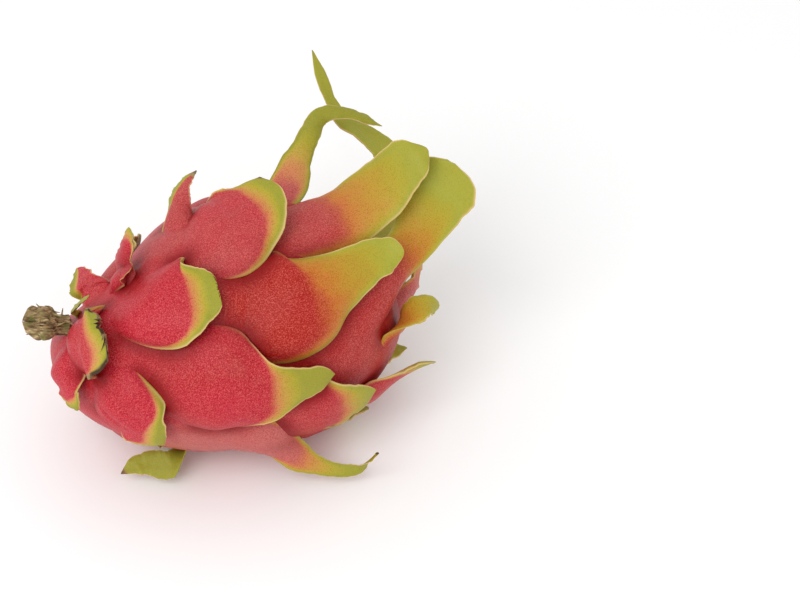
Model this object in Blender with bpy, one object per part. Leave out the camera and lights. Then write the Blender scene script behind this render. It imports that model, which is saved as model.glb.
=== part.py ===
"""A whole dragon fruit lying on its side: the fruit itself, the scales that clothe it,
the dried stub of its stem and the dried scar of its flower.

The fruit's long axis runs along X, with the stem end at -X and the crown at +X, and it
rests on a small flat spot at the origin. Shapes are worked out in millimetres and made
metres at the end. A place on the fruit is a station along the axis, -1 at the stem end
and 1 at the crown end, and an angle around it, 0 on top and 90 on the front (-Y) side.
"""

import math

import bmesh
import bpy
from mathutils import Matrix, Vector

MM = 0.001

# The fruit
HALF_LENGTH = 59.5
RADIUS = 41.0
FULLNESS = 2.3  # 2 is an ellipsoid, more is a squarer profile
REST_DEPTH = 0.8  # how far the flat spot cuts into the round of the fruit
FRUIT_RINGS = 20
FRUIT_SEGMENTS = 28

# The scales
BLADE_THICKNESS = 2.2
MARGIN_SHARE = 0.45  # of the blade's thickness, at its margins
BLADE_CUP = 0.12  # depth of the blade's hollow, for each unit of its half-width
LOBE_MARGIN = -0.8  # the swollen part's margins lie just under the skin
LOBE_ROOT = -1.6
NECK_LENGTH = 0.16  # share of a scale's length over which it leaves the skin
ACROSS_FACES = 6
FACES_PER_STATION = 1.6

# The stem end is drawn in, more on the far side than in front.
DRAWN_WAY = Vector((0, 0.69, 0.724))
DRAWN_FROM = 0.06  # station where this starts, towards the stem
DRAWN_OVER = 0.75  # and how far on it is complete
DRAWN_BACK = 0.36  # shares of the radius
DRAWN_FRONT = 0.08

# The dried ends
STEM_RADIUS = 5.0
STEM_LENGTH = 17.0
STEM_TAPER = 0.72  # of the radius, at the outer end
STEM_SOCKET = 4.0
STEM_STATION = -0.90
STEM_RISE = 10.0  # degrees above the fruit's axis
SCAR_RADIUS = 7.5
SCAR_TAPER = 0.85
SCAR_LENGTH = 5.0
SCAR_SOCKET = 3.0

CLEARANCE = 0.3
SCALE_GAP = 0.5  # between one scale and the next

AXIS_HEIGHT = RADIUS - REST_DEPTH
HEART = Vector((0, 0, AXIS_HEIGHT))

# Each scale: its name, the share of its length where it leaves the skin, the degrees that
# its blade is rolled once it has, and its stations from root to tip as (station, around,
# lift, half-width). The last two are for a fruit of SCALES_RADIUS and grow with the fruit.
# They run from the stem end to the crown: each scale lies over those after it.
SCALES_RADIUS = 41.0
SCALES = (
    ("collar_sliver", 0.30, 0, [
        (-0.857, -23, 2.0, 2.2), (-0.807, -17, 4.5, 2.6), (-0.743, -16, 6.5, 2.2),
        (-0.675, -14, 7.5, 0.8)]),
    ("collar_front", 0.55, 0, [
        (-0.945, 8, 2.0, 6.0), (-0.882, 19, 4.5, 11.5), (-0.806, 25, 6.0, 13.5),
        (-0.737, 27, 6.5, 12.0), (-0.682, 28, 6.5, 7.5)]),
    ("collar_low", 0.66, 0, [
        (-0.956, 7, 2.0, 6.0), (-0.951, 33, 4.5, 9.0), (-0.937, 52, 5.5, 9.0),
        (-0.921, 67, 5.0, 7.0), (-0.901, 80, 4.6, 4.8), (-0.867, 89, 5.5, 1.8)]),
    ("collar_back", 0.50, 0, [
        (-0.743, -17, 1.5, 5.5), (-0.717, -35, 4.0, 6.5), (-0.698, -39, 7.0, 6.0),
        (-0.674, -45, 10.0, 4.5), (-0.647, -51, 13.0, 1.6)]),
    ("collar_fold", 0.70, 0, [
        (-0.68, -22, 2.0, 3.0), (-0.605, -17, 5.0, 4.2), (-0.535, -12, 6.0, 4.0),
        (-0.47, -8, 6.0, 2.0)]),
    ("collar_crest", 0.40, 0, [
        (-0.64, -15, 1.5, 5.0), (-0.569, -17, 4.5, 6.5), (-0.506, -19, 7.5, 6.0),
        (-0.45, -20, 10.5, 4.4), (-0.41, -21, 13.0, 1.4)]),
    ("stem_low_front", 0.66, 0, [
        (-0.883, 60, 1.5, 9.0), (-0.799, 69, 5.0, 12.0), (-0.719, 80, 5.6, 12.5),
        (-0.642, 90, 5.2, 11.5), (-0.565, 98, 5.0, 8.0), (-0.498, 103, 5.0, 2.2)]),
    ("stem_back", 0.66, 0, [
        (-0.84, -52, 1.5, 6.0), (-0.7, -60, 4.2, 12.0), (-0.55, -67, 4.8, 13.0),
        (-0.42, -71, 5.0, 9.5), (-0.32, -72, 6.4, 3.0)]),
    ("stem_low_back", 0.66, 0, [
        (-0.84, -90, 1.5, 7.0), (-0.73, -99, 4.4, 12.0), (-0.58, -106, 5.2, 13.5),
        (-0.44, -110, 5.4, 9.5), (-0.35, -111, 7.0, 2.4)]),
    ("stem_under_back", 0.66, 0, [
        (-0.86, -136, 1.5, 7.0), (-0.74, -147, 3.5, 12.5), (-0.59, -152, 4.0, 13.0),
        (-0.46, -153, 4.2, 8.0), (-0.37, -153, 5.0, 2.4)]),
    ("stem_under_front", 0.66, 0, [
        (-0.87, 150, 1.5, 6.5), (-0.74, 160, 3.5, 11.5), (-0.6, 166, 4.0, 11.5),
        (-0.48, 168, 4.2, 7.0), (-0.39, 168, 5.0, 2.2)]),
    ("shoulder_front", 0.62, 0, [
        (-0.673, -6, 1.0, 9.0), (-0.578, 10, 3.6, 13.5), (-0.464, 22, 4.8, 17.0),
        (-0.329, 28, 5.0, 14.8), (-0.196, 29, 4.8, 10.3), (-0.101, 29, 5.0, 5.5)]),
    ("belly_reflexed", 0.35, -80, [
        (-0.361, 139, 2.0, 4.0), (-0.407, 141, 5.0, 4.6), (-0.465, 143.5, 6.8, 4.6),
        (-0.531, 146, 7.5, 4.2), (-0.587, 146, 9.7, 3.0), (-0.639, 144.5, 13.6, 0.8)]),
    ("side_front", 0.56, 0, [
        (-0.661, 52, 1.0, 9.0), (-0.515, 59.5, 3.6, 15.0), (-0.37, 66, 5.0, 20.0),
        (-0.201, 70.5, 5.6, 20.5), (-0.064, 74, 5.6, 16.0), (0.067, 76, 5.2, 11.0),
        (0.209, 76, 4.8, 7.0), (0.337, 75.5, 4.6, 4.4), (0.412, 76, 4.2, 1.4)]),
    ("top_curl", 0.42, 0, [
        (-0.301, -18, 1.5, 5.0), (-0.228, -21.5, 3.6, 6.0), (-0.174, -27, 5.6, 5.2),
        (-0.136, -29.5, 8.6, 3.8), (-0.084, -32, 11.0, 2.6), (-0.016, -34, 12.4, 1.0)]),
    ("top_broad", 0.62, 0, [
        (-0.33, -4, 1.0, 9.0), (-0.166, -1, 4.2, 15.0), (-0.005, -2, 5.4, 20.0),
        (0.133, -6, 6.4, 17.0), (0.215, -11, 8.6, 11.5), (0.255, -16, 12.0, 4.5)]),
    ("back_broad", 0.60, 0, [
        (-0.34, -58, 1.0, 8.0), (-0.16, -67, 4.4, 16.0), (0.02, -73, 5.4, 18.5),
        (0.18, -77, 5.6, 14.0), (0.31, -79, 6.8, 7.5), (0.42, -79, 9.5, 1.6)]),
    ("back_low", 0.60, 0, [
        (-0.46, -99, 1.0, 8.0), (-0.27, -109, 4.2, 16.0), (-0.09, -114, 5.2, 18.0),
        (0.08, -117, 5.4, 12.5), (0.2, -118, 6.4, 6.0), (0.3, -118, 9.0, 1.4)]),
    ("belly_front", 0.38, -45, [
        (-0.498, 107, 1.0, 9.0), (-0.281, 110, 3.4, 11.5), (-0.106, 111, 4.2, 12.5),
        (0.03, 113.5, 4.6, 11.0), (0.143, 120, 5.5, 6.5), (0.227, 125.5, 9.6, 4.6),
        (0.308, 127, 14.1, 3.4), (0.383, 126, 17.8, 2.5), (0.44, 124.5, 19.7, 2.1),
        (0.484, 122, 19.5, 1.7), (0.525, 118, 19.0, 0.7)]),
    ("belly_back", 0.60, 0, [
        (-0.24, -138, 1.0, 8.0), (-0.06, -146, 3.4, 13.5), (0.13, -149, 3.8, 14.0),
        (0.3, -149, 4.2, 9.5), (0.43, -147, 6.0, 2.4)]),
    ("middle_front", 0.60, 0, [
        (-0.098, 34, 1.0, 11.0), (0.065, 36.5, 4.6, 18.0), (0.234, 40, 5.6, 20.5),
        (0.391, 40, 5.8, 17.5), (0.545, 34, 6.4, 10.5), (0.671, 28, 8.4, 7.0),
        (0.741, 26, 11.6, 5.8), (0.774, 27, 15.2, 3.2)]),
    ("side_crown", 0.64, 0, [
        (-0.01, 90, 1.0, 9.0), (0.164, 94, 3.6, 15.0), (0.346, 98, 4.8, 16.0),
        (0.493, 98, 5.0, 10.0), (0.62, 96, 6.4, 3.0)]),
    ("belly_crown", 0.60, 0, [
        (0.04, 144, 1.0, 8.0), (0.22, 149, 3.4, 12.5), (0.4, 150, 4.0, 12.0),
        (0.54, 148, 4.6, 7.0), (0.65, 145, 7.0, 2.0)]),
    ("crown_finger", 0.50, 35, [
        (0.2, -2.5, 1.0, 9.0), (0.356, -1, 4.0, 13.0), (0.521, -1, 5.6, 13.5),
        (0.673, -4, 8.6, 13.5), (0.721, -4, 18.0, 11.0), (0.732, -3, 28.0, 9.0),
        (0.743, -2, 35.0, 7.8), (0.762, -3, 39.0, 5.6)]),
    ("crown_arch", 0.24, 58, [
        (0.26, -30, 1.0, 8.0), (0.4, -37, 3.6, 9.5), (0.47, -41, 7.6, 7.0),
        (0.51, -44, 16.0, 4.4), (0.54, -45, 24.5, 3.7), (0.57, -45, 31.0, 2.9),
        (0.64, -45, 33.7, 2.4), (0.7, -45, 34.2, 2.0), (0.75, -45, 34.0, 0.8)]),
    ("crown_back", 0.42, 0, [
        (0.3, -88, 1.0, 9.0), (0.5, -95, 4.2, 13.0), (0.68, -98, 5.2, 10.5),
        (0.8, -98, 10.0, 7.0), (0.86, -97, 19.0, 4.6), (0.88, -94, 28.0, 1.4)]),
    ("crown_long", 0.22, -60, [
        (0.56, -62, 1.0, 6.0), (0.74, -64, 4.0, 7.0), (0.845, -60, 11.0, 6.0),
        (0.855, -55, 21.0, 5.0), (0.8, -60, 29.0, 3.9), (0.73, -61, 31.6, 3.7),
        (0.65, -60, 34.2, 2.8), (0.603, -60, 39.6, 2.2), (0.56, -59, 47.0, 2.2),
        (0.52, -60, 58.0, 0.8)]),
    ("crown_under_back", 0.50, 0, [
        (0.36, -128, 1.0, 8.0), (0.54, -134, 4.0, 12.0), (0.7, -136, 5.0, 9.5),
        (0.8, -134, 10.0, 6.0), (0.86, -130, 17.0, 1.8)]),
    ("crown_under", 0.50, 0, [
        (0.44, 172, 1.0, 8.0), (0.6, 176, 3.5, 11.5), (0.74, 178, 4.5, 8.5),
        (0.83, 178, 8.0, 4.5), (0.88, 176, 12.0, 1.4)]),
    ("crown_low_front", 0.50, 0, [
        (0.46, 120, 1.0, 8.0), (0.62, 121, 4.0, 11.0), (0.76, 119, 5.0, 8.5),
        (0.84, 114, 9.0, 5.0), (0.88, 108, 14.5, 1.5)]),
    ("crown_broad", 0.42, -35, [
        (0.44, 61, 1.0, 9.0), (0.603, 56, 4.0, 12.0), (0.749, 47, 5.0, 10.5),
        (0.836, 32, 7.5, 9.0), (0.863, 16, 14.0, 8.5), (0.854, 6.5, 22.5, 10.6),
        (0.838, 3, 29.6, 12.0), (0.834, 0, 35.0, 11.5), (0.826, -1, 39.4, 8.0)]),
    ("crown_curl", 0.40, 75, [
        (0.82, 103, 1.0, 5.0), (0.85, 82, 3.4, 6.0), (0.875, 67, 6.4, 5.4),
        (0.905, 62, 9.6, 4.2), (0.945, 68, 13.0, 1.4)]),
    ("crown_strip", 0.35, 0, [
        (0.9, 78, 1.0, 5.0), (0.955, 66, 3.4, 6.0), (0.975, 42, 5.8, 5.0), (0.975, 15, 8.6, 3.6),
        (0.96, 0, 12.0, 2.6), (0.955, -6, 16.0, 1.0)]),
)


def profile_radius(station):
    return RADIUS * math.sqrt(max(0.0, 1 - abs(station) ** FULLNESS))


def skin_normal(point):
    """The skin's outward direction at a point on it."""
    x, y, z = point - HEART
    along = FULLNESS * abs(x / HALF_LENGTH) ** (FULLNESS - 1) / HALF_LENGTH
    return Vector((math.copysign(along, x), 2 * y / RADIUS**2, 2 * z / RADIUS**2)).normalized()


def skin_at(station, around):
    turn = math.radians(around)
    radius = profile_radius(station)
    return HEART + Vector((station * HALF_LENGTH, -radius * math.sin(turn), radius * math.cos(turn)))


def skin_under(point):
    """The skin's point on the line from the fruit's heart to this point."""
    ray = point - HEART
    along = abs(ray.x) / HALF_LENGTH
    out = math.hypot(ray.y, ray.z) / RADIUS
    reach = 1 / max(along, out)
    for _ in range(8):
        excess = (reach * along) ** FULLNESS + (reach * out) ** 2 - 1
        slope = FULLNESS * along**FULLNESS * reach ** (FULLNESS - 1) + 2 * out**2 * reach
        reach -= excess / slope
    return HEART + ray * reach


def smooth_step(value):
    value = min(max(value, 0.0), 1.0)
    return value * value * (3 - 2 * value)


def drawn_in(point):
    """The point as it lies once the stem end is drawn in."""
    reach = (point - HEART).dot(DRAWN_WAY) / RADIUS
    share = smooth_step((-point.x / HALF_LENGTH - DRAWN_FROM) / DRAWN_OVER)
    shift = -DRAWN_BACK if reach > 0 else DRAWN_FRONT
    return point + DRAWN_WAY * (shift * smooth_step(abs(reach)) * share * RADIUS)


def curve_through(values, share):
    """A smooth curve through evenly spaced values, which may be numbers or vectors."""
    last = len(values) - 1
    place = min(max(share, 0.0), 1.0) * last
    first = min(int(place), last - 1)
    t = place - first
    a, b = values[first], values[first + 1]
    before = values[first - 1] if first else 2 * a - b
    after = values[first + 2] if first + 2 <= last else 2 * b - a
    return 0.5 * (
        2 * a
        + (b - before) * t
        + (2 * before - 5 * a + 4 * b - after) * t**2
        + (3 * (a - b) + after - before) * t**3
    )


class Scale:
    """One scale: a swollen lobe lying on the skin that leaves it at the neck as a blade."""

    def __init__(self, neck, roll, stations):
        self.neck = neck
        self.roll = math.radians(roll)
        size = RADIUS / SCALES_RADIUS
        self.spine = []
        self.lifts = []
        self.widths = []
        for station, around, lift, half_width in stations:
            foot = skin_at(station, around)
            self.spine.append(foot + skin_normal(foot) * lift * size)
            self.lifts.append(lift * size)
            self.widths.append(half_width * size)

    def heading(self, along):
        step = 0.02
        ahead = curve_through(self.spine, along + step)
        return (ahead - curve_through(self.spine, along - step)).normalized()

    def side(self, along):
        """Square to the scale's length, along the skin as far as the neck and then rolled."""
        on_skin = min(along, self.neck)
        out = skin_normal(skin_under(curve_through(self.spine, on_skin)))
        level = out.cross(self.heading(on_skin)).normalized()
        ahead = self.heading(along)
        level = (level - ahead * level.dot(ahead)).normalized()
        turn = self.roll * smooth_step(along / self.neck - 0.5)
        return level * math.cos(turn) + ahead.cross(level) * math.sin(turn)

    def surface(self, across, along, upper, grow):
        """A point of the outer or inner face; across runs from -1 to 1, along from root to tip."""
        centre = curve_through(self.spine, along)
        side = self.side(along)
        ahead = self.heading(along)
        out = ahead.cross(side).normalized()
        reach = side * across * (curve_through(self.widths, along) + grow)

        foot = skin_under(skin_under(centre) + reach)
        crest = curve_through(self.lifts, along) - LOBE_MARGIN
        swell = crest * (1 - abs(across) ** 2.5)
        height = LOBE_MARGIN + swell + grow if upper else LOBE_ROOT - grow
        lobe = foot + skin_normal(foot) * height

        blade = centre + reach - out * (BLADE_CUP * self.widths[-2] * across**2)
        thickness = BLADE_THICKNESS * (1 - (1 - MARGIN_SHARE) * across**2)
        blade += out * (grow if upper else -thickness - grow)

        ends = 0.0 if 0 < along < 1 else math.copysign(grow, along - 0.5)
        free = smooth_step((along - self.neck) / NECK_LENGTH + 0.5)
        return lobe.lerp(blade, free) + ahead * ends


def new_collection(name):
    collection = bpy.data.collections.new(name)
    bpy.context.scene.collection.children.link(collection)
    return collection


def add_object(name, bm, collection):
    """The bmesh, in millimetres, as an object in metres."""
    bmesh.ops.recalc_face_normals(bm, faces=bm.faces)
    if bm.calc_volume(signed=True) < 0:
        bmesh.ops.reverse_faces(bm, faces=bm.faces)
    bmesh.ops.transform(bm, matrix=Matrix.Scale(MM, 4), verts=bm.verts)
    mesh = bpy.data.meshes.new(name)
    bm.to_mesh(mesh)
    bm.free()
    obj = bpy.data.objects.new(name, mesh)
    collection.objects.link(obj)
    return obj


def as_cutter(obj):
    obj.hide_render = True
    obj.display_type = "WIRE"
    return obj


def paint(name, colour, roughness):
    material = bpy.data.materials.new(name)
    material.use_nodes = True
    shader = material.node_tree.nodes["Principled BSDF"]
    shader.inputs["Base Color"].default_value = (*colour, 1)
    shader.inputs["Roughness"].default_value = roughness
    shader.inputs["Metallic"].default_value = 0.0
    return material


def fruit_shape(grow):
    """A sphere drawn out to the fruit's full profile."""
    bm = bmesh.new()
    bmesh.ops.create_uvsphere(bm, u_segments=FRUIT_SEGMENTS, v_segments=FRUIT_RINGS, radius=1)
    bmesh.ops.rotate(bm, verts=bm.verts, matrix=Matrix.Rotation(math.pi / 2, 3, "Y"))
    for vert in bm.verts:
        foot = skin_under(HEART + vert.co)
        vert.co = drawn_in(foot + skin_normal(foot) * grow)
    return bm


def scale_shape(scale, stations, grow):
    """A closed shell: a grid laid on the scale's inner face and extruded to its outer one."""
    bm = bmesh.new()
    rows = round(FACES_PER_STATION * (stations - 1))
    bmesh.ops.create_grid(bm, x_segments=ACROSS_FACES, y_segments=rows, size=1)
    inner = bm.verts[:]
    raised = bmesh.ops.extrude_face_region(bm, geom=bm.faces[:], use_keep_orig=True)
    outer = [item for item in raised["geom"] if isinstance(item, bmesh.types.BMVert)]
    for verts, upper in ((outer, True), (inner, False)):
        for vert in verts:
            vert.co = drawn_in(scale.surface(vert.co.x, (vert.co.y + 1) / 2, upper, grow))
    bmesh.ops.triangulate(bm, faces=bm.faces, quad_method="FIXED")
    return bm


def rod_shape(radius, length, taper, start, direction, grow):
    """A round rod from a point along a direction, narrower at its outer end."""
    bm = bmesh.new()
    bmesh.ops.create_cone(
        bm,
        cap_ends=True,
        segments=14,
        radius1=radius + grow,
        radius2=radius * taper + grow,
        depth=length + 2 * grow,
    )
    turn = direction.to_track_quat("Z", "Y").to_matrix().to_4x4()
    place = Matrix.Translation(start + direction * length / 2) @ turn
    bmesh.ops.transform(bm, matrix=place, verts=bm.verts)
    return bm


def ground_shape():
    """Everything under the surface that the fruit lies on."""
    side = 6 * HALF_LENGTH
    bm = bmesh.new()
    bmesh.ops.create_cube(bm, size=side)
    bmesh.ops.translate(bm, verts=bm.verts, vec=(0, 0, -side / 2))
    return bm


def cut(obj, cutter):
    modifier = obj.modifiers.new(f"cut by {cutter.name}", "BOOLEAN")
    modifier.operation = "DIFFERENCE"
    modifier.solver = "EXACT"
    modifier.object = cutter


def box_of(obj):
    corners = [obj.matrix_world @ Vector(corner) for corner in obj.bound_box]
    lowest = Vector(map(min, zip(*corners)))
    highest = Vector(map(max, zip(*corners)))
    return lowest, highest


def boxes_meet(one, other):
    low_a, high_a = box_of(one)
    low_b, high_b = box_of(other)
    return all(low_a[i] < high_b[i] and low_b[i] < high_a[i] for i in range(3))


def body_volume(faces):
    return sum(face.verts[0].co.dot(face.verts[1].co.cross(face.verts[2].co)) for face in faces) / 6


def linked_faces(face, seen):
    found = [face]
    seen.add(face)
    for each in found:
        for edge in each.edges:
            for other in edge.link_faces:
                if other not in seen:
                    seen.add(other)
                    found.append(other)
    return found


def settle_cuts(obj):
    """Makes the cuts part of the mesh and keeps the largest of the bodies they leave."""
    graph = bpy.context.evaluated_depsgraph_get()
    mesh = bpy.data.meshes.new_from_object(obj.evaluated_get(graph))
    bm = bmesh.new()
    bm.from_mesh(mesh)
    bmesh.ops.triangulate(bm, faces=bm.faces, quad_method="FIXED")
    bmesh.ops.dissolve_degenerate(bm, edges=bm.edges, dist=1e-6)
    seen = set()
    bodies = [linked_faces(face, seen) for face in bm.faces if face not in seen]
    bodies.sort(key=body_volume, reverse=True)
    loose = [face for body in bodies[1:] for face in body]
    bmesh.ops.delete(bm, geom=loose, context="FACES")
    bm.to_mesh(mesh)
    bm.free()
    obj.modifiers.clear()
    obj.data = mesh
    mesh.name = obj.name
    return mesh


def build():
    for obj in list(bpy.data.objects):
        bpy.data.objects.remove(obj)
    fruit = new_collection("dragon_fruit")
    cutters = new_collection("cutters")

    peel = paint("peel", (0.55, 0.06, 0.08), 0.45)
    scale_skin = paint("scale_skin", (0.58, 0.07, 0.10), 0.42)
    leaf_green = paint("leaf_green", (0.42, 0.40, 0.08), 0.45)
    dried = paint("dried", (0.22, 0.16, 0.08), 0.9)

    ground = as_cutter(add_object("ground", ground_shape(), cutters))

    # The stub stands in a socket in the skin, and the scar in another at the crown end.
    rise = math.radians(STEM_RISE)
    stem_way = Vector((-math.cos(rise), 0, math.sin(rise)))
    stem_start = drawn_in(skin_at(STEM_STATION, 0)) - stem_way * STEM_SOCKET
    scar_way = Vector((1, 0, 0))
    scar_start = HEART + scar_way * (HALF_LENGTH - SCAR_SOCKET)
    ends = (
        ("stem_stub", (STEM_RADIUS, STEM_LENGTH, STEM_TAPER, stem_start, stem_way)),
        ("flower_scar", (SCAR_RADIUS, SCAR_LENGTH, SCAR_TAPER, scar_start, scar_way)),
    )
    above = []
    for name, rod in ends:
        end = add_object(name, rod_shape(*rod, 0), fruit)
        end.data.materials.append(dried)
        above.append(as_cutter(add_object(f"{name}_room", rod_shape(*rod, CLEARANCE), cutters)))

    body = add_object("fruit_body", fruit_shape(0), fruit)
    body.data.materials.append(peel)
    for cutter in (ground, *above):
        cut(body, cutter)
    body_room = as_cutter(add_object("body_room", fruit_shape(CLEARANCE), cutters))

    bpy.context.view_layer.update()
    pieces = [body]
    for name, neck, roll, stations in SCALES:
        scale = Scale(neck, roll, stations)
        piece = add_object(name, scale_shape(scale, len(stations), 0), fruit)
        piece.data.materials.append(leaf_green if name.startswith("crown") else scale_skin)
        grown = add_object(f"{name}_room", scale_shape(scale, len(stations), SCALE_GAP), cutters)
        bpy.context.view_layer.update()
        for cutter in (body_room, ground, *above):
            if boxes_meet(piece, cutter):
                cut(piece, cutter)
        above.append(as_cutter(grown))
        pieces.append(piece)

    bpy.context.view_layer.update()
    for piece in pieces:
        settle_cuts(piece)
        piece.data.shade_smooth()
        piece.data.set_sharp_from_angle(angle=math.radians(50))


build()
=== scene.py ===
import math

import bmesh
import bpy
import numpy as np
from mathutils import Matrix, Vector
from mathutils.kdtree import KDTree


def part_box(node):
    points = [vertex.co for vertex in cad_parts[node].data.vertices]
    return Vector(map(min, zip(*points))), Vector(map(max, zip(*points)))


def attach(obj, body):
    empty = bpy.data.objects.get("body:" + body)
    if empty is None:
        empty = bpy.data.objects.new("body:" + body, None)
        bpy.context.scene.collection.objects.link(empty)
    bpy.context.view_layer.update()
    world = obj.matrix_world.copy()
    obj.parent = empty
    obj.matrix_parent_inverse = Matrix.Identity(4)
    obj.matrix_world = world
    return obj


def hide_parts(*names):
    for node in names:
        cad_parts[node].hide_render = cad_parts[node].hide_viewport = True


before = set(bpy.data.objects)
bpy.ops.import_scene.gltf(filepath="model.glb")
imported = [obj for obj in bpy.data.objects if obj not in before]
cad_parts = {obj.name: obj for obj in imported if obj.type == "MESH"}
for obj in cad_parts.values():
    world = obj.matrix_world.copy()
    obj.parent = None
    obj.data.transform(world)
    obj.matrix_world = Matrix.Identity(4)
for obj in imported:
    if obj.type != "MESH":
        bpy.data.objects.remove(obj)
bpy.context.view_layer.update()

# A whole dragon fruit: a waxy pink body, the scales that clothe it, and its two dried ends.
# Shapes are worked out in millimetres and made metres when a piece is finished. A place on
# the fruit is a station along its axis, -1 at the stem end and 1 at the crown end, and an
# angle around it, 0 on top and 90 on the front (-Y) side. A place on a scale is how far it is
# across, from -1 to 1, and along, from 0 at the root to 1 at the tip.

MM = 0.001
body_low, body_high = (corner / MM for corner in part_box("fruit_body"))
HALF_LENGTH = -body_low.x
RADIUS = body_high.y
AXIS_HEIGHT = body_high.z - RADIUS
HEART = np.array([0.0, 0.0, AXIS_HEIGHT])
FULLNESS = 2.3  # 2 is an ellipsoid, more is a squarer profile

FRUIT_RINGS = 150
FRUIT_SEGMENTS = 200

ACROSS_FACES = 32
FACES_PER_STATION = 9
BLADE_THICKNESS = 2.0
RIM_THICKNESS = 0.45
LOBE_ROOT_HEIGHT = -1.1  # the root's margins lie under the skin
LOBE_EDGE_HEIGHT = 0.9  # and stand off it towards the neck
NECK_LENGTH = 0.18  # share of a scale's length over which it leaves the skin
ROOT_LENGTH = 0.16  # share of a scale's length over which it widens from its root
SWELL_LENGTH = 0.40  # and over which it swells out of the skin
CREASE_WIDTH = 4.2
CREASE_DEPTH = 0.5
LYING_CLOSE = 7.0  # a margin within this of the skin dents the body there and darkens what lies under it with painted shade
MARGIN_ACROSS = 0.985  # what counts as a scale's margin: this far across,
MARGIN_START = 0.3  # from here along,
MARGIN_TIP = 0.995  # and all of the tip from here
LOWEST = 0.05  # how near the floor a scale may come
LEAST_HALF_WIDTH = 0.15
BLUNTNESS = 0.985  # how near to nothing a rounded end may close
SHARP_ANGLE = math.radians(55)
LOBE_SAMPLES = 24  # points of the scales' lobes that tint each point of the body

# The stem end is drawn in on the side away from this fruit's front.
DRAWN_WAY = np.array([0.0, 0.69, 0.724])
DRAWN_FROM = 0.06
DRAWN_OVER = 0.75
DRAWN_BACK = 0.36
DRAWN_FRONT = 0.08


# Shapes


def smooth_step(values):
    values = np.clip(values, 0.0, 1.0)
    return values * values * (3 - 2 * values)


def unit(rows):
    return rows / np.linalg.norm(rows, axis=-1, keepdims=True)


def skin_normal(points):
    """The skin's outward direction at points on it."""
    x, y, z = (points - HEART).T
    along = FULLNESS * np.abs(x / HALF_LENGTH) ** (FULLNESS - 1) / HALF_LENGTH
    rows = np.stack([np.copysign(along, x), 2 * y / RADIUS**2, 2 * z / RADIUS**2], axis=1)
    return unit(rows)


def skin_under(points):
    """The skin's points on the lines from the fruit's heart to these points."""
    rays = points - HEART
    along = np.abs(rays[:, 0]) / HALF_LENGTH
    out = np.hypot(rays[:, 1], rays[:, 2]) / RADIUS
    reach = 1 / np.maximum(along, out)
    for _ in range(8):
        excess = (reach * along) ** FULLNESS + (reach * out) ** 2 - 1
        slope = FULLNESS * along**FULLNESS * reach ** (FULLNESS - 1) + 2 * out**2 * reach
        reach = reach - excess / slope
    return HEART + rays * reach[:, None]


def skin_at(station, around):
    turn = math.radians(around)
    radius = RADIUS * math.sqrt(max(0.0, 1 - abs(station) ** FULLNESS))
    return HEART + [station * HALF_LENGTH, -radius * math.sin(turn), radius * math.cos(turn)]


def drawn_in(points):
    """The points as they lie once the stem end is drawn in, more at the back than in front."""
    reach = (points - HEART) @ DRAWN_WAY / RADIUS
    share = smooth_step((-points[:, 0] / HALF_LENGTH - DRAWN_FROM) / DRAWN_OVER)
    shift = np.where(reach > 0, -DRAWN_BACK, DRAWN_FRONT) * smooth_step(np.abs(reach)) * share
    return points + shift[:, None] * RADIUS * DRAWN_WAY


def curve_through(values, shares):
    """A smooth curve through evenly spaced rows of numbers, read at many shares of its length."""
    values = np.asarray(values, float)
    ends = 2 * values[:1] - values[1:2], 2 * values[-1:] - values[-2:-1]
    padded = np.concatenate([ends[0], values, ends[1]])
    place = np.clip(shares, 0.0, 1.0) * (len(values) - 1)
    first = np.minimum(place.astype(int), len(values) - 2)
    t = place - first
    if values.ndim > 1:
        t = t[:, None]
    before, a, b, after = (padded[first + k] for k in range(4))
    return 0.5 * (
        2 * a
        + (b - before) * t
        + (2 * before - 5 * a + 4 * b - after) * t**2
        + (3 * (a - b) + after - before) * t**3
    )


def waver(places, seed, waves=5):
    """A smooth irregular wave between about -1 and 1, the same for the same seed."""
    chance = np.random.default_rng(seed)
    total = np.zeros_like(places)
    for octave in range(waves):
        rate = 1.6**octave * chance.uniform(0.8, 1.25)
        total += np.sin(2 * np.pi * (rate * places + chance.uniform())) / 1.3**octave
    return total / 2.2


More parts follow.
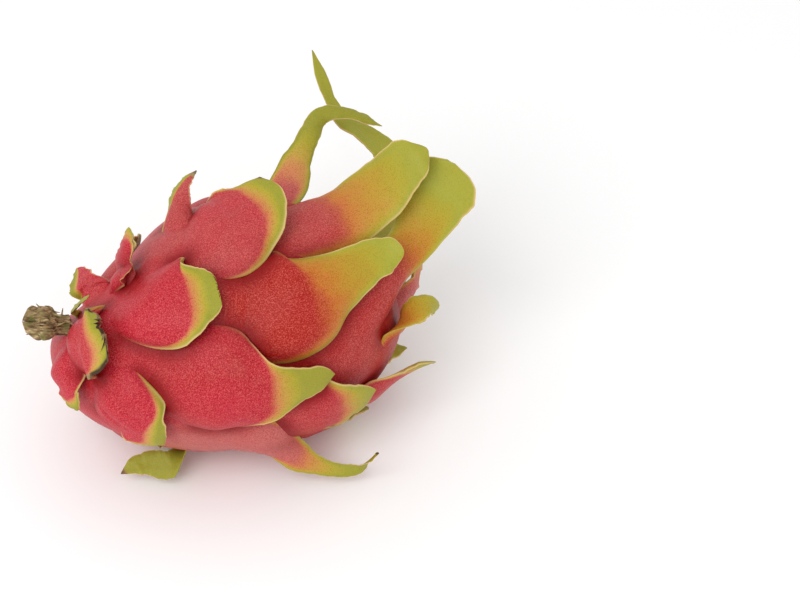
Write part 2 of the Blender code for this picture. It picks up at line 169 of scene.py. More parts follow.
class Scale:
    """One scale: a swollen lobe lying on the skin that leaves it at the neck as a blade."""

    def __init__(self, name, neck, stations, **look):
        self.name = name
        self.neck = neck
        self.seed = sum(map(ord, name))
        self.look = {
            "cup": 0.12,  # depth of the blade's hollow, for each unit of its half-width
            "roll": 0.0,  # degrees that the blade is turned once it has left the neck
            "twist": 0.0,  # degrees that it turns further by its tip
            "tip": 2.0,  # 2 rounds the tip off, more leaves it squarer
            "tip_from": 0.88,
            "wave": 0.35,  # how far the blade's margins wave in and out
            "torn": 0.0,  # how far the tip's edge is torn back
            "green_from": 0.62,
            "green_over": 0.30,
            "green_edge": 0.30,  # how much earlier the margins turn
            # how much painted sheen makes the lobe paler pink, where lamp light and the floor's
            # bounce glance off its wax
            "green_lean": 0.0,  # how much earlier the side across = 1 turns
            "pale": 0.3,
            "warm": 0.3,
            "dry_tip": 0.0,  # share of the length that has dried
            "dry_edge": 0.0,
            "ribs": 0.0,  # how strongly its lobe is ribbed lengthways
        } | look
        feet = np.array([skin_at(station, around) for station, around, _, _ in stations])
        self.lifts = np.array([lift for _, _, lift, _ in stations])
        self.widths = np.array([half_width for _, _, _, half_width in stations])
        self.spine = feet + skin_normal(feet) * self.lifts[:, None]
        self.rows = FACES_PER_STATION * (len(stations) - 1)

    def heading(self, along, step=0.03):
        ahead = curve_through(self.spine, along + step)
        return unit(ahead - curve_through(self.spine, along - step))

    def frame_at(self, along):
        """The directions across the scale, along it and out of it."""
        on_skin = np.minimum(along, self.neck)
        out = skin_normal(skin_under(curve_through(self.spine, on_skin)))
        level = unit(np.cross(out, self.heading(on_skin)))
        ahead = self.heading(along)
        level = unit(level - ahead * np.sum(level * ahead, axis=1, keepdims=True))
        out = np.cross(ahead, level)
        leaving = smooth_step(along / self.neck - 0.5)
        blade = np.clip((along - self.neck) / (1 - self.neck), 0, 1)
        turn = self.look["roll"] * leaving + self.look["twist"] * blade
        turn = np.radians(turn)[:, None]
        side = level * np.cos(turn) + out * np.sin(turn)
        return side, ahead, np.cross(ahead, side)

    def free(self, along):
        return smooth_step((along - self.neck) / NECK_LENGTH + 0.5)

    def outline(self, across, along):
        """The half-width, rounded off at the tip and waving a little along the blade."""
        look = self.look
        width = curve_through(self.widths, along)
        closing = np.clip((along - look["tip_from"]) / (1 - look["tip_from"]), 0, BLUNTNESS)
        width = width * (1 - closing ** look["tip"]) ** (1 / look["tip"])
        opening = np.clip(1 - along / ROOT_LENGTH, 0, BLUNTNESS)
        width = width * np.sqrt(1 - opening**2)
        side = np.where(across > 0, 0.0, 7.3)
        wave = waver(along * 3 + side, self.seed) * look["wave"] * self.free(along)
        return np.maximum(width + wave * np.minimum(width / 4, 1), LEAST_HALF_WIDTH)

    def surface(self, across, along, upper):
        look = self.look
        torn = look["torn"] * np.abs(waver(across * 2.2, self.seed + 1, waves=7))
        along = along - torn * smooth_step((along - 0.75) / 0.25) / 100
        centre = curve_through(self.spine, along)
        side, ahead, out = self.frame_at(along)
        width = self.outline(across, along)
        reach = side * (across * width)[:, None]
        free = self.free(along)

        foot = skin_under(skin_under(centre) + reach)
        rise = smooth_step(along / self.neck * 1.3 - 0.15)
        edge = LOBE_ROOT_HEIGHT + (LOBE_EDGE_HEIGHT - LOBE_ROOT_HEIGHT) * rise
        crest = curve_through(self.lifts, along)
        swell = (crest - edge) * (1 - np.abs(across) ** 2.8)
        rooted = smooth_step(along / SWELL_LENGTH)
        height = LOBE_ROOT_HEIGHT + (edge + np.maximum(swell, 0) - LOBE_ROOT_HEIGHT) * rooted
        ribs = look["ribs"] * waver(across * 1.3 + along * 0.25, self.seed + 3, waves=6)
        height = height + ribs * 0.35 * rooted * (1 - across**4)
        height = np.where(upper, height, np.minimum(edge, height) - RIM_THICKNESS)
        lobe = foot + skin_normal(foot) * height[:, None]

        cup = look["cup"] * curve_through(self.widths, along) * across**2
        curl = look["wave"] * 1.2 * waver(along * 4 + np.sign(across), self.seed + 2)
        cup = cup - curl * np.abs(across) ** 3
        thickness = RIM_THICKNESS + (BLADE_THICKNESS - RIM_THICKNESS) * (1 - np.abs(across) ** 3)
        thickness = thickness * np.minimum(width / 4, 1)
        drop = cup + np.where(upper, 0, thickness)
        blade = centre + reach - out * drop[:, None]
        return lobe + (blade - lobe) * free[:, None]

    def ripeness(self, across, along):
        """0 where the scale is pink and 1 where it is green."""
        look = self.look
        start = look["green_from"] - look["green_edge"] * np.abs(across) ** 6
        start = start - look["green_lean"] * across
        return np.clip((along - start) / look["green_over"], 0, 1)

    def dryness(self, across, along):
        look = self.look
        dry = np.zeros_like(along)
        if look["dry_tip"]:
            dry = smooth_step((along - 1) / look["dry_tip"] + 1.2)
        if look["dry_edge"]:
            ends = np.maximum(np.abs(across) ** 8, smooth_step((along - 0.96) / 0.03))
            dry = np.maximum(dry, look["dry_edge"] * ends * self.free(along))
        return dry


def scale_shape(scale):
    """A closed shell: a grid laid on the scale's inner face and extruded to its outer one."""
    bm = bmesh.new()
    bmesh.ops.create_grid(bm, x_segments=ACROSS_FACES, y_segments=scale.rows, size=1)
    inner = len(bm.verts)
    bmesh.ops.extrude_face_region(bm, geom=bm.faces[:], use_keep_orig=True)
    bm.verts.ensure_lookup_table()
    flat = np.array([vert.co for vert in bm.verts])
    across = 1.35 * flat[:, 0] - 0.35 * flat[:, 0] ** 3
    along = (flat[:, 1] + 1) / 2
    upper = np.arange(len(flat)) >= inner
    points = drawn_in(scale.surface(across, along, upper))
    points[:, 2] = np.maximum(points[:, 2], LOWEST)
    return bm, across, along, upper, points


def fruit_shape():
    """A sphere drawn out to the fruit's full profile, which make_body flattens where it rests."""
    bm = bmesh.new()
    bmesh.ops.create_uvsphere(bm, u_segments=FRUIT_SEGMENTS, v_segments=FRUIT_RINGS, radius=1)
    bmesh.ops.rotate(bm, verts=bm.verts, matrix=Matrix.Rotation(math.pi / 2, 3, "Y"))
    points = skin_under(HEART + np.array([vert.co for vert in bm.verts]))
    return bm, points


def tree_of(points):
    tree = KDTree(len(points))
    for index, point in enumerate(points):
        tree.insert(point, index)
    tree.balance()
    return tree


def closeness(points, tree, width):
    """1 on the tree's points, falling to 0 over about twice this width."""
    near = np.array([tree.find(point)[2] for point in points])
    return np.exp(-((near / width) ** 2))


def finish_piece(bm, name, points, facts, places=None):
    """The bmesh as an object in metres, with numbers and a map on its points."""
    for vert, point in zip(bm.verts, points * MM):
        vert.co = point
    bmesh.ops.recalc_face_normals(bm, faces=bm.faces)
    if bm.calc_volume(signed=True) < 0:
        bmesh.ops.reverse_faces(bm, faces=bm.faces)
    mesh = bpy.data.meshes.new(name)
    bm.to_mesh(mesh)
    bm.free()
    for fact, values in facts.items():
        values = np.broadcast_to(np.asarray(values, np.float32), len(points))
        mesh.attributes.new(fact, "FLOAT", "POINT").data.foreach_set("value", values.copy())
    if places is not None:
        corners = np.empty(len(mesh.loops), np.int32)
        mesh.loops.foreach_get("vertex_index", corners)
        layer = mesh.uv_layers.new(name="place")
        layer.data.foreach_set("uv", places[corners].astype(np.float32).ravel())
    mesh.shade_smooth()
    mesh.set_sharp_from_angle(angle=SHARP_ANGLE)
    obj = bpy.data.objects.new(name, mesh)
    bpy.context.scene.collection.objects.link(obj)
    return obj


# Paints


def colour(red, green, blue):
    """A colour as a screen shows it, from 0 to 255, as the light it stands for."""
    shares = (value / 255 for value in (red, green, blue))
    return tuple(s / 12.92 if s <= 0.04045 else ((s + 0.055) / 1.055) ** 2.4 for s in shares)


class Socket:
    """A node's output that adds Math nodes when it is used in sums."""

    def __init__(self, paint, output):
        self.paint = paint
        self.output = output

    def __add__(self, other):
        return self.paint.maths("ADD", self, other)

    def __sub__(self, other):
        return self.paint.maths("SUBTRACT", self, other)

    def __rsub__(self, other):
        return self.paint.maths("SUBTRACT", other, self)

    def __mul__(self, other):
        return self.paint.maths("MULTIPLY", self, other)

    __radd__ = __add__
    __rmul__ = __mul__


class Paint:
    """A material whose Principled BSDF is fed by the nodes that its methods add."""

    def __init__(self, name):
        self.material = bpy.data.materials.new(name)
        self.material.use_nodes = True
        self.tree = self.material.node_tree
        self.shader = self.tree.nodes["Principled BSDF"]

    def feed(self, target, value):
        if isinstance(value, Socket):
            self.tree.links.new(value.output, target)
        elif isinstance(value, tuple) and target.type == "RGBA":
            target.default_value = (*value, 1)
        else:
            target.default_value = value

    def node(self, kind, settings=None, stops=None, output=0, inputs=None):
        node = self.tree.nodes.new("ShaderNode" + kind)
        for name, value in (settings or {}).items():
            setattr(node, name, value)
        if stops:
            ramp = node.color_ramp.elements
            while len(ramp) < len(stops):
                ramp.new(1.0)
            for element, (place, shade) in zip(ramp, stops):
                element.position = place
                element.color = (*shade, 1)
        for name, value in (inputs or {}).items():
            self.feed(node.inputs[name], value)
        return Socket(self, node.outputs[output])

    def maths(self, operation, *terms, clamp=False):
        settings = {"operation": operation, "use_clamp": clamp}
        return self.node("Math", settings, inputs=dict(enumerate(terms)))

    def held(self, value):
        """The value kept between 0 and 1."""
        return self.maths("ADD", value, 0.0, clamp=True)

    def fact(self, name):
        return self.node("Attribute", {"attribute_name": name}, output="Fac")

    def noise(self, size, detail=2.0, stretch=None):
        """Noise whose features are about this many millimetres."""
        place = self.node("TexCoord", output="Object")
        if stretch:
            place = self.node("Mapping", inputs={"Vector": place, "Scale": stretch})
        inputs = {"Vector": place, "Scale": 1 / (size * MM), "Detail": detail}
        return self.node("TexNoise", inputs=inputs)

    def blend(self, factor, one, other):
        inputs = {0: factor, 6: one, 7: other}
        return self.node("Mix", {"data_type": "RGBA"}, output=2, inputs=inputs)

    def step(self, value, low, high):
        """0 below low and 1 above high, smoothly between."""
        settings = {"interpolation_type": "SMOOTHSTEP"}
        limits = {"Value": value, "From Min": low, "From Max": high}
        return self.node("MapRange", settings, inputs=limits)

    def surface(self, name, value):
        self.feed(self.shader.inputs[name], value)

    def bump(self, height, depth, normal=None):
        inputs = {"Height": height, "Distance": depth * MM, "Strength": 1.0}
        if normal:
            inputs["Normal"] = normal
        return self.node("Bump", inputs=inputs)


BRIGHT_PINK = colour(188, 30, 54)
ROSE = colour(170, 26, 34)
BRICK_RED = colour(164, 24, 6)
# the pale pink of the painted sheen on the lobes
SHEEN_PINK = colour(190, 106, 100)
PALE_GRAIN = colour(222, 112, 100)
# the red of the grain's pits, and also of the painted shade in the creases under the scales'
# margins
DEEP_RED = colour(128, 2, 6)
CREAM = colour(222, 188, 130)
HUSK = colour(158, 132, 92)
BARK = colour(70, 52, 34)

# What the skin turns through as it ripens from pink to green
COOL_TURN = (
    (0.0, colour(196, 92, 80)), (0.25, colour(204, 134, 84)), (0.5, colour(190, 160, 68)),
    (0.75, colour(164, 160, 44)), (1.0, colour(142, 146, 42)))
WARM_TURN = (
    (0.0, colour(176, 62, 18)), (0.25, colour(190, 116, 30)), (0.5, colour(182, 146, 38)),
    (0.75, colour(172, 162, 44)), (1.0, colour(160, 164, 54)))


def ripe_skin():
    """Waxy skin that turns from pink through salmon, amber and straw to green."""
    paint = Paint("ripe_skin")
    patches = paint.noise(16, 3.0)
    mottle = paint.noise(5, 3.0)
    grain = paint.noise(0.36, 1.0)
    fine = paint.noise(0.2, 1.0)
    ripe, shaded_crease = paint.fact("ripe"), paint.fact("shaded_crease")
    dry, pale_rim_and_highlight = paint.fact("dry"), paint.fact("pale_rim_and_highlight")
    pale, warm = paint.fact("pale"), paint.fact("warm")

    heat = paint.held(warm + (patches - 0.5) * 0.9)
    lobe = paint.blend(paint.held(heat * 2), BRIGHT_PINK, ROSE)
    lobe = paint.blend(paint.held(heat * 2 - 1), lobe, BRICK_RED)
    # painted sheen: the lobes painted paler pink where the lamp above and the floor's bounce below
    # glance off the wax
    painted_sheen = paint.held(pale * 1.1 + (patches - 0.5) * 0.7 + (mottle - 0.5) * 0.3 - 0.22)
    lobe = paint.blend(painted_sheen, lobe, SHEEN_PINK)

    turning = paint.held(ripe + (mottle - 0.5) * 0.22 * paint.step(ripe, 0.0, 0.2))
    cool = paint.node("ValToRGB", stops=COOL_TURN, inputs={"Fac": turning})
    hot = paint.node("ValToRGB", stops=WARM_TURN, inputs={"Fac": turning})
    leaf = paint.blend(paint.held(warm * 1.6), cool, hot)
    skin = paint.blend(paint.step(turning, 0.0, 0.3), lobe, leaf)

    specks = paint.step(grain, 0.44, 0.72) * (1 - 0.7 * paint.step(turning, 0.1, 0.6))
    skin = paint.blend(specks * 0.5, skin, PALE_GRAIN)
    pits = paint.step(grain, 0.5, 0.3) * (1 - 0.7 * turning)
    skin = paint.blend(pits * 0.5, skin, DEEP_RED)
    # painted shade: deep red in the creases under the scales' margins, weaker where the skin has
    # turned green
    skin = paint.blend(paint.held(shaded_crease * 1.2 * (1 - 0.8 * ripe)) * 0.9, skin, DEEP_RED)
    # a cream line on the scales' margins: partly their own pale edge, partly a painted highlight
    # along the lit edge
    skin = paint.blend(pale_rim_and_highlight * 0.75, skin, CREAM)
    husk = paint.blend(paint.step(mottle, 0.42, 0.6), BARK, HUSK)
    skin = paint.blend(paint.step(dry + (mottle - 0.5) * 0.4, 0.35, 0.6), skin, husk)
    paint.surface("Base Color", skin)
    paint.surface("Roughness", 0.38 + 0.12 * mottle + dry * 0.4)
    paint.surface("Normal", paint.bump(grain + fine * 0.4, 0.07, paint.bump(mottle, 0.5)))
    paint.surface("Specular IOR Level", 0.2)
    paint.surface("Subsurface Weight", 0.05)
    paint.surface("Subsurface Scale", 0.002)
    return paint.material


def dried_fibre():
    """Dry brown and olive plant fibre, streaked along its length."""
    paint = Paint("dried_fibre")
    streaks = paint.noise(1.0, 4.0, stretch=(0.25, 1.0, 1.0))
    patches = paint.noise(4, 3.0)
    stops = ((0.3, BARK), (0.44, colour(122, 99, 61)), (0.56, HUSK), (0.72, colour(206, 184, 140)))
    fibre = paint.node("ValToRGB", stops=stops, inputs={"Fac": streaks})
    fibre = paint.blend(paint.step(patches, 0.5, 0.65) * 0.7, fibre, colour(112, 112, 52))
    paint.surface("Base Color", fibre)
    paint.surface("Roughness", 0.85)
    paint.surface("Normal", paint.bump(streaks, 0.6))
    return paint.material


# The fruit and its scales

SCALES = (
    Scale("collar_sliver", 0.30, [
        (-0.857, -23, 2.0, 2.2), (-0.807, -17, 4.5, 2.6), (-0.743, -16, 6.5, 2.2),
        (-0.675, -14, 7.5, 0.8)],
        green_from=-0.2, dry_edge=0.6),
    Scale("collar_front", 0.55, [
        (-0.948, 8, 2.0, 8.0), (-0.882, 19, 5.0, 14.0), (-0.806, 26, 7.2, 17.0),
        (-0.737, 28, 8.0, 16.0), (-0.672, 28, 8.0, 11.5)],
        tip=4.0, torn=8.0, green_from=0.66, green_lean=0.1, warm=0.0, dry_edge=1.0,
        tip_from=0.85, green_over=0.3),
    Scale("collar_low", 0.66, [
        (-0.956, 7, 2.0, 6.0), (-0.951, 33, 4.5, 9.0), (-0.937, 52, 5.5, 9.0),
        (-0.921, 67, 5.0, 7.0), (-0.901, 80, 4.6, 4.8), (-0.867, 89, 5.5, 1.8)],
        green_from=0.8, green_over=0.15, warm=0.0, pale=0.15),
    Scale("collar_back", 0.50, [
        (-0.743, -17, 1.5, 5.5), (-0.717, -35, 4.0, 6.5), (-0.698, -39, 7.0, 6.0),
        (-0.674, -45, 10.0, 4.5), (-0.647, -51, 13.0, 1.6)],
        green_from=0.7, green_lean=0.6, warm=0.0, green_edge=0.1),
    Scale("collar_fold", 0.70, [
        (-0.68, -22, 2.0, 3.0), (-0.605, -17, 5.0, 4.2), (-0.535, -12, 6.0, 4.0),
        (-0.47, -8, 6.0, 2.0)],
        green_from=1.0, warm=0.0),
    Scale("collar_crest", 0.40, [
        (-0.64, -15, 1.5, 5.0), (-0.569, -17, 4.5, 6.5), (-0.506, -19, 7.5, 6.0),
        (-0.45, -20, 10.5, 4.4), (-0.41, -21, 13.0, 1.4)],
        green_from=0.75, warm=0.0, cup=0.3, dry_edge=0.5),
    Scale("stem_low_front", 0.66, [
        (-0.883, 60, 1.5, 9.0), (-0.799, 69, 5.0, 12.0), (-0.719, 80, 5.6, 12.5),
        (-0.642, 90, 5.2, 11.5), (-0.565, 98, 5.0, 8.0), (-0.498, 103, 5.0, 2.2)],
        green_from=0.7, green_lean=0.16, green_over=0.2, warm=0.0, ribs=2.2, pale=0.1),
    Scale("stem_back", 0.66, [
        (-0.84, -52, 1.5, 6.0), (-0.7, -60, 4.2, 12.0), (-0.55, -67, 4.8, 13.0),
        (-0.42, -71, 5.0, 9.5), (-0.32, -72, 6.4, 3.0)]),
    Scale("stem_low_back", 0.66, [
        (-0.86, -86, 1.5, 7.0), (-0.74, -96, 4.4, 13.0), (-0.58, -104, 5.2, 15.0),
        (-0.44, -109, 5.4, 9.5), (-0.35, -111, 7.0, 2.4)]),
    Scale("stem_under_back", 0.66, [
        (-0.86, -136, 1.5, 7.0), (-0.74, -147, 3.5, 12.5), (-0.59, -152, 4.0, 13.0),
        (-0.46, -153, 4.2, 8.0), (-0.37, -153, 5.0, 2.4)]),
    Scale("stem_under_front", 0.66, [
        (-0.87, 150, 1.5, 6.5), (-0.74, 160, 3.5, 11.5), (-0.60, 166, 4.0, 11.5),
        (-0.48, 168, 4.2, 7.0), (-0.39, 168, 5.0, 2.2)]),
    Scale("shoulder_front", 0.62, [
        (-0.673, -6, 1.0, 9.0), (-0.578, 10, 3.6, 13.5), (-0.464, 22, 4.8, 17.0),
        (-0.329, 28, 5.0, 16.0), (-0.196, 29, 4.8, 10.3), (-0.101, 29, 5.0, 5.5)],
        tip=5.0, tip_from=0.9, torn=3.0, green_from=0.68, green_over=0.2, dry_edge=0.4,
        warm=0.2, pale=0.15),
    Scale("belly_reflexed", 0.22, [
        (-0.352, 140.5, 3.5, 2.6), (-0.4, 141.5, 5.2, 4.4), (-0.46, 143.5, 6.8, 4.8),
        (-0.525, 146, 7.6, 4.4), (-0.587, 146, 9.7, 3.1), (-0.639, 144.5, 13.6, 0.8)],
        green_from=-0.1, dry_tip=0.08, roll=-80, cup=0.3),
    Scale("side_front", 0.56, [
        (-0.661, 52, 1.0, 9.0), (-0.515, 59.5, 3.6, 15.0), (-0.37, 66, 5.0, 20.0),
        (-0.201, 70.5, 5.6, 20.5), (-0.064, 74, 5.6, 16.0), (0.067, 76, 5.2, 11.0),
        (0.209, 76, 4.8, 7.0), (0.337, 75.5, 4.6, 4.4), (0.412, 76, 4.2, 1.4)],
        green_from=0.6, green_over=0.18, green_edge=0.1, warm=0.2, pale=0.15, ribs=0.4),
    Scale("top_curl", 0.42, [
        (-0.301, -18, 1.5, 5.0), (-0.228, -21.5, 3.6, 6.0), (-0.174, -27, 5.6, 5.2),
        (-0.136, -29.5, 8.6, 3.8), (-0.084, -32, 11.0, 2.6), (-0.016, -34, 12.4, 1.0)],
        green_from=0.62, green_lean=0.55, cup=0.4, dry_tip=0.16, green_over=0.15,
        green_edge=0.1, pale=0.5),
    Scale("top_broad", 0.62, [
        (-0.314, -3, 1.0, 9.0), (-0.166, -1, 4.2, 15.0), (-0.005, -2, 5.4, 20.0),
        (0.133, -6, 6.4, 17.0), (0.215, -11, 8.6, 11.5), (0.255, -16, 12.0, 4.5)],
        green_from=0.68, green_over=0.26, green_lean=-0.12, pale=0.4, warm=0.2, dry_edge=0.3,
        dry_tip=0.03),
    Scale("back_broad", 0.60, [
        (-0.34, -58, 1.0, 8.0), (-0.16, -67, 4.4, 16.0), (0.02, -73, 5.4, 18.5),
        (0.18, -77, 5.6, 14.0), (0.31, -79, 6.8, 7.5), (0.42, -79, 9.5, 1.6)]),
    Scale("back_low", 0.60, [
        (-0.46, -99, 1.0, 8.0), (-0.27, -109, 4.2, 16.0), (-0.09, -114, 5.2, 18.0),
        (0.08, -117, 5.4, 12.5), (0.20, -118, 6.4, 6.0), (0.30, -118, 9.0, 1.4)]),
    Scale("belly_front", 0.38, [
        (-0.498, 107, 1.0, 9.0), (-0.281, 110, 3.4, 11.5), (-0.106, 111, 4.2, 12.5),
        (0.03, 113.5, 4.6, 11.0), (0.143, 120, 5.5, 6.5), (0.227, 125.5, 9.6, 4.4),
        (0.308, 127, 14.1, 3.0), (0.383, 126, 17.8, 2.1), (0.44, 124.5, 19.7, 1.8),
        (0.484, 122, 19.5, 1.5), (0.525, 118, 19.0, 0.7)],
        green_from=0.42, green_over=0.3, pale=0.9, warm=0.2, dry_tip=0.03, roll=-45),
    Scale("belly_back", 0.60, [
        (-0.24, -138, 1.0, 8.0), (-0.06, -146, 3.4, 13.5), (0.13, -149, 3.8, 14.0),
        (0.30, -149, 4.2, 9.5), (0.43, -147, 6.0, 2.4)]),
    Scale("middle_front", 0.60, [
        (-0.098, 34, 1.0, 11.0), (0.065, 36.5, 4.6, 18.0), (0.234, 40, 5.6, 20.5),
        (0.391, 40, 5.8, 17.5), (0.545, 34, 6.4, 10.5), (0.671, 28, 8.4, 7.0),
        (0.741, 26, 11.6, 5.8), (0.774, 27, 15.2, 3.2)],
        green_from=0.38, green_over=0.46, warm=0.9, pale=0.1),
    Scale("side_crown", 0.64, [
        (-0.01, 90, 1.0, 9.0), (0.164, 94, 3.6, 15.0), (0.346, 98, 4.8, 16.0),
        (0.493, 98, 5.0, 10.0), (0.62, 96, 6.4, 3.0)]),
    Scale("belly_crown", 0.60, [
        (0.04, 144, 1.0, 8.0), (0.22, 149, 3.4, 12.5), (0.40, 150, 4.0, 12.0),
        (0.54, 148, 4.6, 7.0), (0.65, 145, 7.0, 2.0)]),
    Scale("crown_finger", 0.50, [
        (0.2, -2.5, 1.0, 9.0), (0.356, -1, 4.0, 13.0), (0.521, -1, 5.6, 13.5),
        (0.673, -4, 8.6, 13.5), (0.721, -4, 18.0, 11.0), (0.732, -3, 28.0, 9.0),
        (0.743, -2, 35.0, 7.8), (0.762, -3, 39.0, 5.6)],
        green_from=0.3, green_over=0.5, pale=0.5, warm=0.5, tip_from=0.72, roll=35),
    Scale("crown_arch", 0.24, [
        (0.26, -30, 1.0, 8.0), (0.4, -37, 3.6, 9.5), (0.47, -41, 7.6, 7.0),
        (0.51, -44, 16.0, 4.4), (0.54, -45, 24.5, 3.7), (0.57, -45, 31.0, 2.9),
        (0.64, -45, 33.7, 2.4), (0.7, -45, 34.2, 2.0), (0.75, -45, 34.0, 0.8)],
        green_from=0.2, green_over=0.32, pale=0.9, warm=0.0, cup=0.3, roll=50, twist=15),
    Scale("crown_back", 0.42, [
        (0.30, -88, 1.0, 9.0), (0.50, -95, 4.2, 13.0), (0.68, -98, 5.2, 10.5),
        (0.80, -98, 10.0, 7.0), (0.86, -97, 19.0, 4.6), (0.88, -94, 28.0, 1.4)],
        green_from=0.4),
    Scale("crown_long", 0.22, [
        (0.56, -62, 1.0, 6.0), (0.74, -64, 4.0, 7.0), (0.845, -60, 11.0, 6.5),
        (0.855, -56, 21.0, 6.0), (0.8, -60, 29.0, 5.4), (0.73, -61, 31.6, 5.0),
        (0.65, -60, 34.2, 3.4), (0.603, -60, 39.6, 2.3), (0.56, -59, 47.0, 2.3),
        (0.52, -60, 58.0, 0.8)],
        green_from=0.1, cup=0.3, roll=-60),
    Scale("crown_under_back", 0.50, [
        (0.36, -128, 1.0, 8.0), (0.54, -134, 4.0, 12.0), (0.70, -136, 5.0, 9.5),
        (0.80, -134, 10.0, 6.0), (0.86, -130, 17.0, 1.8)]),
    Scale("crown_under", 0.50, [
        (0.44, 172, 1.0, 8.0), (0.60, 176, 3.5, 11.5), (0.74, 178, 4.5, 8.5),
        (0.83, 178, 8.0, 4.5), (0.88, 176, 12.0, 1.4)]),
    Scale("crown_low_front", 0.50, [
        (0.46, 120, 1.0, 8.0), (0.62, 121, 4.0, 11.0), (0.76, 119, 5.0, 8.5),
        (0.84, 114, 9.0, 5.0), (0.88, 108, 14.5, 1.5)]),
    Scale("crown_broad", 0.42, [
        (0.44, 61, 1.0, 9.0), (0.603, 56, 4.0, 12.0), (0.749, 47, 5.0, 10.5),
        (0.836, 32, 7.5, 9.0), (0.863, 16, 14.0, 8.0), (0.854, 6.5, 22.5, 11.0),
        (0.838, 3, 29.6, 13.0), (0.834, 0, 35.0, 12.2), (0.826, -1, 39.4, 8.5)],
        green_from=0.35, green_over=0.4, warm=0.7, tip_from=0.78, roll=-35),
    Scale("crown_curl", 0.40, [
        (0.82, 103, 1.0, 5.0), (0.85, 82, 3.4, 6.0), (0.875, 67, 6.4, 5.4),
        (0.905, 62, 9.6, 4.2), (0.945, 68, 13.0, 1.4)],
        green_from=0.2, green_over=0.8, warm=1.0, roll=75),
    Scale("crown_strip", 0.35, [
        (0.90, 78, 1.0, 5.0), (0.955, 66, 3.4, 6.0), (0.975, 42, 5.8, 5.0),
        (0.975, 15, 8.6, 3.6), (0.96, 0, 12.0, 2.6), (0.955, -6, 16.0, 1.0)],
        green_from=0.3, green_over=0.9, pale=0.7),
)


def tuft(bm, base, ways, lengths, width):
    """Adds withered strips: flat tapering spikes from the base points along the ways."""
    for start, way, length in zip(base, ways, lengths):
        rod = bmesh.ops.create_cone(
            bm, cap_ends=True, segments=6, radius1=width, radius2=width * 0.25, depth=length)
        turn = Vector(way).to_track_quat("Z", "Y").to_matrix().to_4x4()
        place = Matrix.Translation(Vector(start + way * length * 0.4)) @ turn
        bmesh.ops.scale(bm, vec=(1, 0.35, 1), verts=rod["verts"])
        bmesh.ops.transform(bm, matrix=place, verts=rod["verts"])


def dried_end(name, start, way, reach, radii, shag, strips):
    """A dried end: a ragged core along the way from its start, with strips lying on it."""
    chance = np.random.default_rng(sum(map(ord, name)))
    bm = bmesh.new()
    bmesh.ops.create_uvsphere(bm, u_segments=96, v_segments=64, radius=1)
    flat = np.array([vert.co for vert in bm.verts])
    turn = np.arctan2(flat[:, 1], flat[:, 0]) / (2 * np.pi)
    share = (flat[:, 2] + 1) / 2
    steps = np.linspace(0, 1, len(radii))
    radius = np.interp(share, steps, radii)
    radius = radius * np.minimum(1, np.hypot(flat[:, 0], flat[:, 1]) * 1.8)
    ridges = (np.abs(np.sin(turn * np.pi * 14 + 3 * share))
              + np.abs(np.sin(turn * np.pi * 30 - 5 * share)))
    knots = np.sin(turn * 2 * np.pi + share * 9) + np.sin(turn * 6 * np.pi - share * 14)
    radius = radius * (1 + shag * (ridges - 1) + shag * 0.7 * knots * share)
    side = unit(np.cross(way, [0.0, 0.0, 1.0]))
    lift = np.cross(side, way)
    ring = side * np.cos(turn * 2 * np.pi)[:, None] + lift * np.sin(turn * 2 * np.pi)[:, None]
    ragged = share * reach * (1 + 0.12 * np.sin(turn * 10 * np.pi) * share)
    points = start + way * ragged[:, None] + ring * radius[:, None]
    for vert, point in zip(bm.verts, points):
        vert.co = point
    angles = chance.uniform(0, 2 * np.pi, strips)
    places = chance.uniform(0.15, 0.95, strips)
    out = side * np.cos(angles)[:, None] + lift * np.sin(angles)[:, None]
    depths = np.interp(places, steps, radii) * 0.95
    base = start + way * (places * reach)[:, None] + out * depths[:, None]
    spreads = (1.0, 0.12, 0.8)
    along, off, across = (chance.uniform(-most, most, strips)[:, None] for most in spreads)
    ways = unit(way * along + out * off + np.cross(way, out) * across)
    tuft(bm, base, ways, chance.uniform(2.5, 5.0, strips), 0.55)
    return finish_piece(bm, name, np.array([vert.co for vert in bm.verts]), {})


def make_stub():
    """The cut stem: a frayed knot that rises a little from its socket."""
    low, high = (np.array(corner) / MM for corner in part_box("stem_stub"))
    start = np.array([high[0] - 3.0, (low[1] + high[1]) / 2 + 0.5, low[2] + 7.0])
    way = unit(np.array([-1.0, 0.1, 0.34]))
    reach = high[0] - low[0] - 4.0
    radii = (3.4, 2.8, 3.0, 4.4, 4.9, 4.2, 2.6)
    return dried_end("withered_stub", start, way, reach, radii, shag=0.2, strips=70)


def make_scar():
    """What is left of the flower, at the crown."""
    low, high = (np.array(corner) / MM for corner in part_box("flower_scar"))
    start = np.array([low[0], (low[1] + high[1]) / 2, (low[2] + high[2]) / 2])
    way = np.array([1.0, 0.0, 0.0])
    radii = (7.2, 7.0, 6.6, 6.2, 5.2)
    return dried_end("withered_flower", start, way, high[0] - low[0], radii, shag=0.1, strips=40)


def hues_near(points, shells):
    """How warm the nearest scales' lobes are and how pale their painted sheen makes them, evened
    out over the skin.
    """
    lobes, looks = [], []
    for scale, _, _, along, upper, places in shells:
        low = np.flatnonzero(upper & (along < scale.neck))[::9]
        lobes.append(places[low])
        looks.append(np.tile([scale.look["pale"], scale.look["warm"]], (len(low), 1)))
    tree = tree_of(np.concatenate(lobes))
    looks = np.concatenate(looks)
    near = [[index for _, index, _ in tree.find_n(point, LOBE_SAMPLES)] for point in points]
    pale, warm = looks[np.array(near)].mean(axis=1).T
    return {"pale": pale, "warm": warm}


def hand_over(piece, node, material):
    """The piece takes its CAD node's place, in its material."""
    piece.data.materials.append(material)
    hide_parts(node)
    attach(piece, "root")


def margins_on_skin(across, along, upper, points):
    """The points of a scale's outer margin that lie close to the skin."""
    edge = upper & (np.abs(across) > MARGIN_ACROSS) & (along > MARGIN_START)
    edge |= upper & (along > MARGIN_TIP)
    low = np.linalg.norm(points - drawn_in(skin_under(points)), axis=1) < LYING_CLOSE
    return points[edge & low]


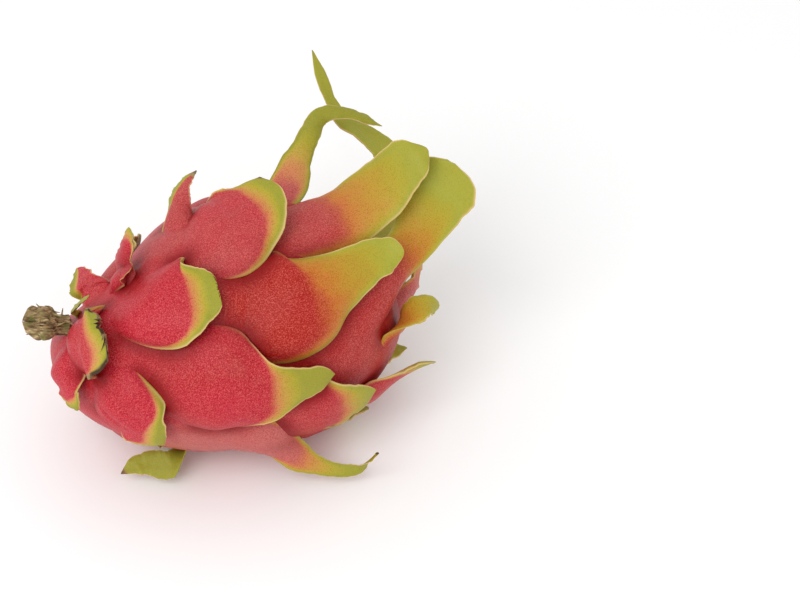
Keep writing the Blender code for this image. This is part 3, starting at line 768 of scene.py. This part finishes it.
def make_body(skin, shells, margins):
    """The waxy body, sunk a little in the creases under the scales' margins and painted darker
    there as shade.
    """
    bm, points = fruit_shape()
    shaded_crease = closeness(drawn_in(points), tree_of(np.concatenate(margins)), CREASE_WIDTH)
    points = drawn_in(points - skin_normal(points) * (CREASE_DEPTH * shaded_crease)[:, None])
    points[:, 2] = np.maximum(points[:, 2], 0)
    facts = {"ripe": 0, "shaded_crease": shaded_crease * 0.8, "dry": 0, "pale_rim_and_highlight": 0} | hues_near(points, shells)
    hand_over(finish_piece(bm, "waxy_body", points, facts), "fruit_body", skin)


def make_scale(skin, shell, others):
    """A scale's skin, with shade painted darker in the creases that the other scales' margins make
    on it.
    """
    scale, bm, across, along, upper, points = shell
    shaded_crease = closeness(points, tree_of(others), CREASE_WIDTH) * (1 - 0.5 * scale.free(along))
    # painted shade along the lobe's own margins where they sink into the skin, fading out where it
    # leaves the skin
    root = smooth_step((np.abs(across) - 0.8) / 0.2) * (1 - scale.free(along))
    root = root * smooth_step(along / SWELL_LENGTH - 0.3)
    facts = {
        "ripe": scale.ripeness(across, along),
        "shaded_crease": np.maximum(shaded_crease, root * 0.6),
        "dry": scale.dryness(across, along),
        # the margins' cream line, partly their own pale edge and partly a painted highlight
        "pale_rim_and_highlight": smooth_step((np.abs(across) - 0.93) / 0.05) * smooth_step(along * 2 - 0.5),
        "pale": scale.look["pale"],
        "warm": scale.look["warm"],
    }
    places = np.stack([across, along], axis=1)
    piece = finish_piece(bm, f"{scale.name}_skin", points, facts, places)
    hand_over(piece, scale.name, skin)


def make_fruit():
    skin = ripe_skin()
    shells = [(scale, *scale_shape(scale)) for scale in SCALES]
    margins = [margins_on_skin(*shell[2:]) for shell in shells]
    make_body(skin, shells, margins)
    for index, shell in enumerate(shells):
        make_scale(skin, shell, np.concatenate(margins[:index] + margins[index + 1 :]))
    fibre = dried_fibre()
    stub, scar = make_stub(), make_scar()
    hand_over(stub, "stem_stub", fibre)
    hand_over(scar, "flower_scar", fibre)


# The studio

FLOOR_SIZE = 6.0
PAPER_WHITE = (0.97, 0.97, 0.97)
ROOM_LIGHT = 0.86
KEY_AZIMUTH = math.radians(-45)
KEY_ELEVATION = math.radians(50)
KEY_DISTANCE = 1.2
KEY_SIZE = 0.8
KEY_POWER = 5.5
LENS = 100.0
CAMERA_DISTANCE = 0.7407
CAMERA_AZIMUTH = math.radians(-17)
CAMERA_ELEVATION = math.radians(45)
AIM = Vector((0.0564, -0.0116, 0.0474))


def direction(azimuth, elevation):
    """From the subject towards something seen at this azimuth and elevation."""
    level = math.cos(elevation)
    return Vector((math.sin(azimuth) * level, -math.cos(azimuth) * level, math.sin(elevation)))


def make_floor():
    bm = bmesh.new()
    bmesh.ops.create_grid(bm, x_segments=1, y_segments=1, size=FLOOR_SIZE / 2)
    mesh = bpy.data.meshes.new("floor")
    bm.to_mesh(mesh)
    bm.free()
    floor = bpy.data.objects.new("floor", mesh)
    bpy.context.scene.collection.objects.link(floor)
    paper = Paint("white_paper")
    paper.surface("Base Color", PAPER_WHITE)
    paper.surface("Roughness", 0.9)
    mesh.materials.append(paper.material)


def make_lights():
    """An even white room, and one soft lamp from the upper left."""
    world = bpy.data.worlds.new("studio")
    world.use_nodes = True
    world.node_tree.nodes["Background"].inputs["Color"].default_value = (1, 1, 1, 1)
    world.node_tree.nodes["Background"].inputs["Strength"].default_value = ROOM_LIGHT
    bpy.context.scene.world = world
    bpy.context.scene.view_settings.view_transform = "Standard"
    data = bpy.data.lights.new("key", "AREA")
    data.shape = "DISK"
    data.size = KEY_SIZE
    data.energy = KEY_POWER
    light = bpy.data.objects.new("key", data)
    bpy.context.scene.collection.objects.link(light)
    way = direction(KEY_AZIMUTH, KEY_ELEVATION)
    light.location = way * KEY_DISTANCE
    light.rotation_euler = way.to_track_quat("Z", "Y").to_euler()


def make_camera():
    data = bpy.data.cameras.new("camera")
    data.lens = LENS
    camera = bpy.data.objects.new("camera", data)
    bpy.context.scene.collection.objects.link(camera)
    way = direction(CAMERA_AZIMUTH, CAMERA_ELEVATION)
    camera.location = AIM + way * CAMERA_DISTANCE
    camera.rotation_euler = way.to_track_quat("Z", "Y").to_euler()
    bpy.context.scene.camera = camera


make_floor()
make_lights()
make_camera()
make_fruit()
